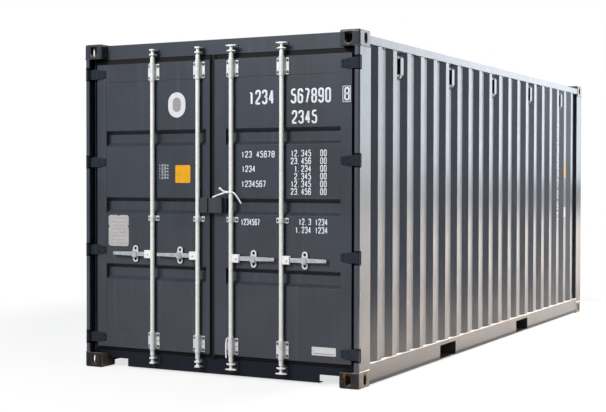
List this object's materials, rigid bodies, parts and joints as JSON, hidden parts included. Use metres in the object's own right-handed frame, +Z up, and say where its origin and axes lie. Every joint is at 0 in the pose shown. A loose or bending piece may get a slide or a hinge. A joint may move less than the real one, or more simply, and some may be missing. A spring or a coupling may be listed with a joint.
{
  "type": "shipping container",
  "caption": "Steel dry freight container with corrugated walls, corner castings, fork pockets, a plywood floor and a pair of hinged doors with lock rods and handles.",
  "frame": {"origin": "on the ground, in the middle of the four bottom corner castings", "axes": "+X to the right seen from the doors, +Y from the doors to the closed end, +Z up"},
  "size_m": [2.438, 6.058, 2.591],
  "materials": {
    "frame_paint": "satin marine paint",
    "wall_paint": "satin marine paint",
    "door_paint": "satin marine paint",
    "casting_paint": "painted cast steel, scuffed and rusty",
    "lock_box_paint": "satin paint",
    "underframe_paint": "bituminous coating",
    "galvanised_steel": "dull zinc",
    "gasket_rubber": "matt",
    "floor_plywood": "worn plywood"
  },
  "bodies": {
    "container": {"corner_castings_top": "casting_paint", "corner_castings_bottom": "casting_paint", "rear_post_left": "frame_paint", "rear_post_right": "frame_paint", "front_post_left": "frame_paint", "front_post_right": "frame_paint", "top_side_rail_left": "frame_paint", "top_side_rail_right": "frame_paint", "bottom_side_rail_left": "frame_paint", "bottom_side_rail_right": "frame_paint", "door_header": "frame_paint", "door_sill": "frame_paint", "front_header": "frame_paint", "front_sill": "frame_paint", "hinge_lugs_left": "frame_paint", "hinge_lugs_right": "frame_paint", "cam_keepers": "frame_paint", "side_wall_left": "wall_paint", "side_wall_right": "wall_paint", "front_wall": "wall_paint", "roof": "wall_paint", "side_vents": "wall_paint", "cross_members": "underframe_paint", "fork_pockets": "underframe_paint", "floor": "floor_plywood"},
    "right_door": {"right_door_frame": "door_paint", "right_door_panel": "door_paint", "right_door_gasket": "gasket_rubber", "right_hinge_blades": "door_paint", "right_rod_brackets": "galvanised_steel", "right_handle_catches": "galvanised_steel", "right_lock_box": "lock_box_paint"},
    "left_door": {"left_door_frame": "door_paint", "left_door_panel": "door_paint", "left_door_gasket": "gasket_rubber", "left_hinge_blades": "door_paint", "left_rod_brackets": "galvanised_steel", "left_handle_catches": "galvanised_steel", "left_lock_box": "lock_box_paint"},
    "right_inner_rod": {"right_inner_lock_rod": "galvanised_steel"},
    "right_outer_rod": {"right_outer_lock_rod": "galvanised_steel"},
    "left_inner_rod": {"left_inner_lock_rod": "galvanised_steel"},
    "left_outer_rod": {"left_outer_lock_rod": "galvanised_steel"},
    "right_inner_lever": {"right_inner_handle": "galvanised_steel"},
    "right_outer_lever": {"right_outer_handle": "galvanised_steel"},
    "left_inner_lever": {"left_inner_handle": "galvanised_steel"},
    "left_outer_lever": {"left_outer_handle": "galvanised_steel"}
  },
  "joints": [
    {"name": "right_door_swing", "type": "hinge", "parent": "container", "child": "right_door", "pos_m": [1.2035, -3.0135, 0], "axis": [0, 0, 1], "range_deg": [0, 267]},
    {"name": "left_door_swing", "type": "hinge", "parent": "container", "child": "left_door", "pos_m": [-1.2035, -3.0135, 0], "axis": [0, 0, -1], "range_deg": [0, 267]},
    {"name": "right_inner_rod_turn", "type": "hinge", "parent": "right_door", "child": "right_inner_rod", "pos_m": [0.134, -3.002, 0], "axis": [0, 0, 1], "range_deg": [-110, 0]},
    {"name": "right_outer_rod_turn", "type": "hinge", "parent": "right_door", "child": "right_outer_rod", "pos_m": [0.5685, -3.002, 0], "axis": [0, 0, 1], "range_deg": [-110, 0]},
    {"name": "left_inner_rod_turn", "type": "hinge", "parent": "left_door", "child": "left_inner_rod", "pos_m": [-0.1645, -3.002, 0], "axis": [0, 0, -1], "range_deg": [-110, 0]},
    {"name": "left_outer_rod_turn", "type": "hinge", "parent": "left_door", "child": "left_outer_rod", "pos_m": [-0.58375, -3.002, 0], "axis": [0, 0, -1], "range_deg": [-110, 0]},
    {"name": "right_inner_handle_lift", "type": "hinge", "parent": "right_inner_rod", "child": "right_inner_lever", "pos_m": [0.18, -3.002, 0.914], "axis": [0, -1, 0], "range_deg": [0, 30]},
    {"name": "right_outer_handle_lift", "type": "hinge", "parent": "right_outer_rod", "child": "right_outer_lever", "pos_m": [0.6145, -3.002, 0.914], "axis": [0, -1, 0], "range_deg": [0, 30]},
    {"name": "left_inner_handle_lift", "type": "hinge", "parent": "left_inner_rod", "child": "left_inner_lever", "pos_m": [-0.2105, -3.002, 0.923], "axis": [0, 1, 0], "range_deg": [0, 30]},
    {"name": "left_outer_handle_lift", "type": "hinge", "parent": "left_outer_rod", "child": "left_outer_lever", "pos_m": [-0.62975, -3.002, 0.923], "axis": [0, 1, 0], "range_deg": [0, 30]}
  ]
}
